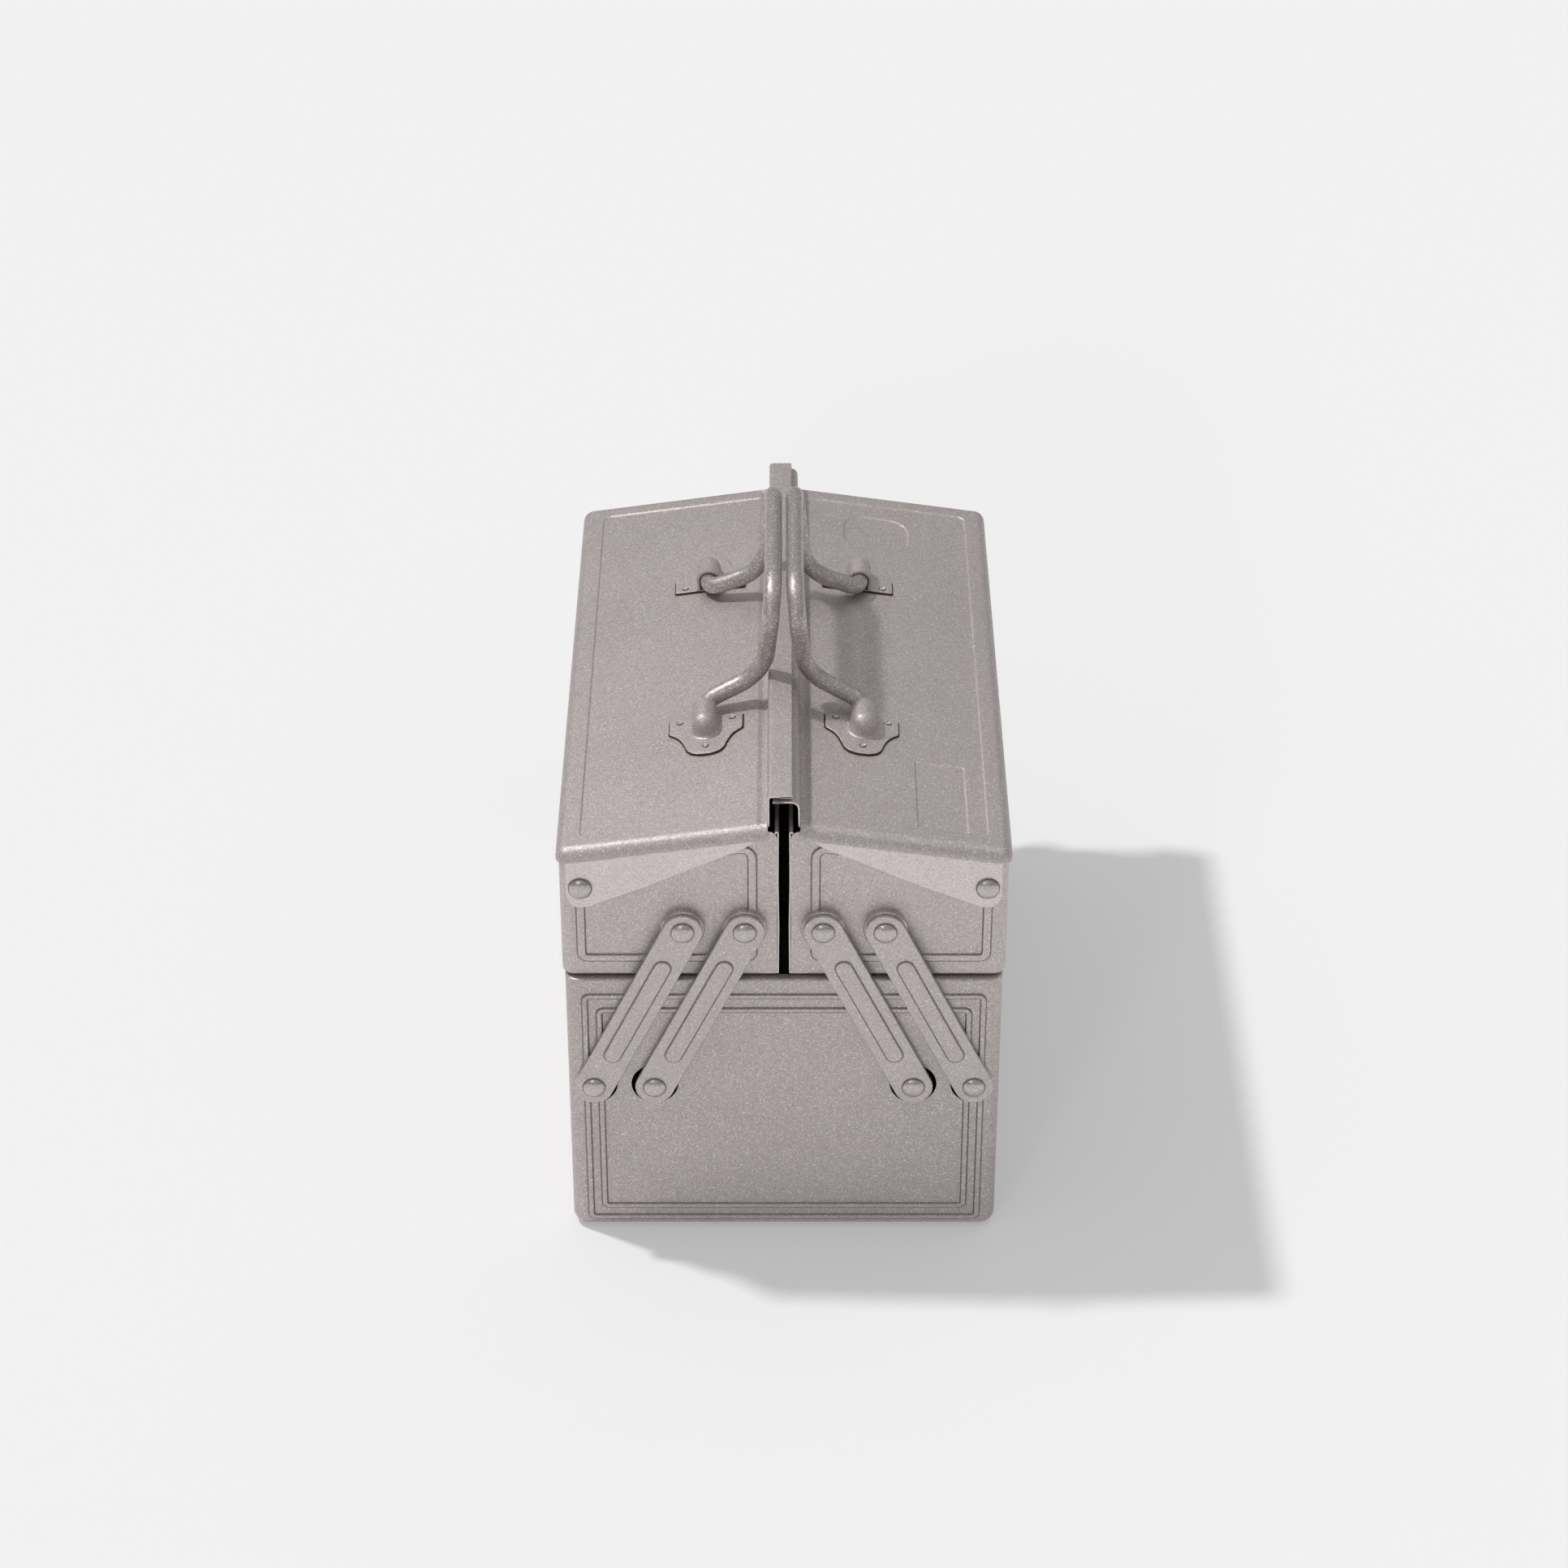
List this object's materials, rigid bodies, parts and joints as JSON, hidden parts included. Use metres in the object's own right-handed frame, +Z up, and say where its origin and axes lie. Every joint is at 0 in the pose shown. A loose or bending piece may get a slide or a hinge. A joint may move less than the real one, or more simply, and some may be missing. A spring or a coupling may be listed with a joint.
{
  "type": "cantilever tool box",
  "caption": "Steel cantilever tool box: a deep base, trays that swing out sideways on riveted links, hinged lids that meet in a ridge, and folding carrying handles.",
  "frame": {"origin": "middle of the underside of the base, halfway between its ends and its sides", "axes": "+X across the box towards the right lid, +Y along the box away from the front end, +Z up"},
  "size_m": [0.2238, 0.3556, 0.3175],
  "materials": {
    "body_paint": "warm silver hammered metallic paint, semi-gloss",
    "link_paint": "warm silver metallic paint, semi-gloss",
    "rivet_paint": "warm silver metallic paint over steel rivets",
    "handle_paint": "warm silver metallic paint over bent rod",
    "bracket_paint": "warm silver metallic paint, worn at the cut edges"
  },
  "bodies": {
    "base": {"base_shell": "body_paint", "base_link_rivets": "rivet_paint", "base_link_spacers": "rivet_paint"},
    "left_outer_links": {"left_front_outer_link": "link_paint", "left_rear_outer_link": "link_paint"},
    "left_inner_links": {"left_front_inner_link": "link_paint", "left_rear_inner_link": "link_paint"},
    "left_tray": {"left_tray_shell": "body_paint", "left_tray_inner_wall": "body_paint", "left_tray_link_rivets": "rivet_paint", "left_tray_spacers": "rivet_paint", "left_lid_rivets": "rivet_paint"},
    "left_lid": {"left_lid": "body_paint", "left_front_handle_bracket": "bracket_paint", "left_rear_handle_bracket": "bracket_paint"},
    "left_handle": {"left_handle": "handle_paint"},
    "right_outer_links": {"right_front_outer_link": "link_paint", "right_rear_outer_link": "link_paint"},
    "right_inner_links": {"right_front_inner_link": "link_paint", "right_rear_inner_link": "link_paint"},
    "right_tray": {"right_tray_shell": "body_paint", "right_tray_inner_wall": "body_paint", "right_tray_link_rivets": "rivet_paint", "right_tray_spacers": "rivet_paint", "right_lid_rivets": "rivet_paint"},
    "right_lid": {"right_lid": "body_paint", "right_front_handle_bracket": "bracket_paint", "right_rear_handle_bracket": "bracket_paint"},
    "right_handle": {"right_handle": "handle_paint"}
  },
  "joints": [
    {"name": "left_tray_swing", "type": "hinge", "parent": "base", "child": "left_outer_links", "pos_m": [-0.0959, 0, 0.094], "axis": [0, -1, 0], "range_deg": [0, 51.2]},
    {"name": "left_inner_link_swing", "type": "hinge", "parent": "base", "child": "left_inner_links", "pos_m": [-0.0653, 0, 0.094], "axis": [0, -1, 0], "range_deg": [0, 51.2]},
    {"name": "left_tray_level", "type": "hinge", "parent": "left_outer_links", "child": "left_tray", "pos_m": [-0.0499, 0, 0.1899], "axis": [0, -1, 0], "range_deg": [-51.2, 0]},
    {"name": "left_lid_open", "type": "hinge", "parent": "left_tray", "child": "left_lid", "pos_m": [-0.0998, 0, 0.2133], "axis": [0, -1, 0], "range_deg": [0, 100]},
    {"name": "left_handle_fold", "type": "hinge", "parent": "left_lid", "child": "left_handle", "pos_m": [-0.0402, 0, 0.24975], "axis": [0, -1, 0], "range_deg": [0, 127]},
    {"name": "right_tray_swing", "type": "hinge", "parent": "base", "child": "right_outer_links", "pos_m": [0.0959, 0, 0.094], "axis": [0, 1, 0], "range_deg": [0, 51.2]},
    {"name": "right_inner_link_swing", "type": "hinge", "parent": "base", "child": "right_inner_links", "pos_m": [0.0653, 0, 0.094], "axis": [0, 1, 0], "range_deg": [0, 51.2]},
    {"name": "right_tray_level", "type": "hinge", "parent": "right_outer_links", "child": "right_tray", "pos_m": [0.0499, 0, 0.1899], "axis": [0, 1, 0], "range_deg": [-51.2, 0]},
    {"name": "right_lid_open", "type": "hinge", "parent": "right_tray", "child": "right_lid", "pos_m": [0.0998, 0, 0.2133], "axis": [0, 1, 0], "range_deg": [0, 100]},
    {"name": "right_handle_fold", "type": "hinge", "parent": "right_lid", "child": "right_handle", "pos_m": [0.0402, 0, 0.24975], "axis": [0, 1, 0], "range_deg": [0, 127]}
  ],
  "couplings": [
    {"joint": "left_inner_link_swing", "follows": "left_tray_swing", "ratio": 1},
    {"joint": "left_tray_level", "follows": "left_tray_swing", "ratio": -1},
    {"joint": "right_tray_swing", "follows": "left_tray_swing", "ratio": 1},
    {"joint": "right_inner_link_swing", "follows": "left_tray_swing", "ratio": 1},
    {"joint": "right_tray_level", "follows": "left_tray_swing", "ratio": -1},
    {"joint": "right_lid_open", "follows": "left_lid_open", "ratio": 1}
  ]
}
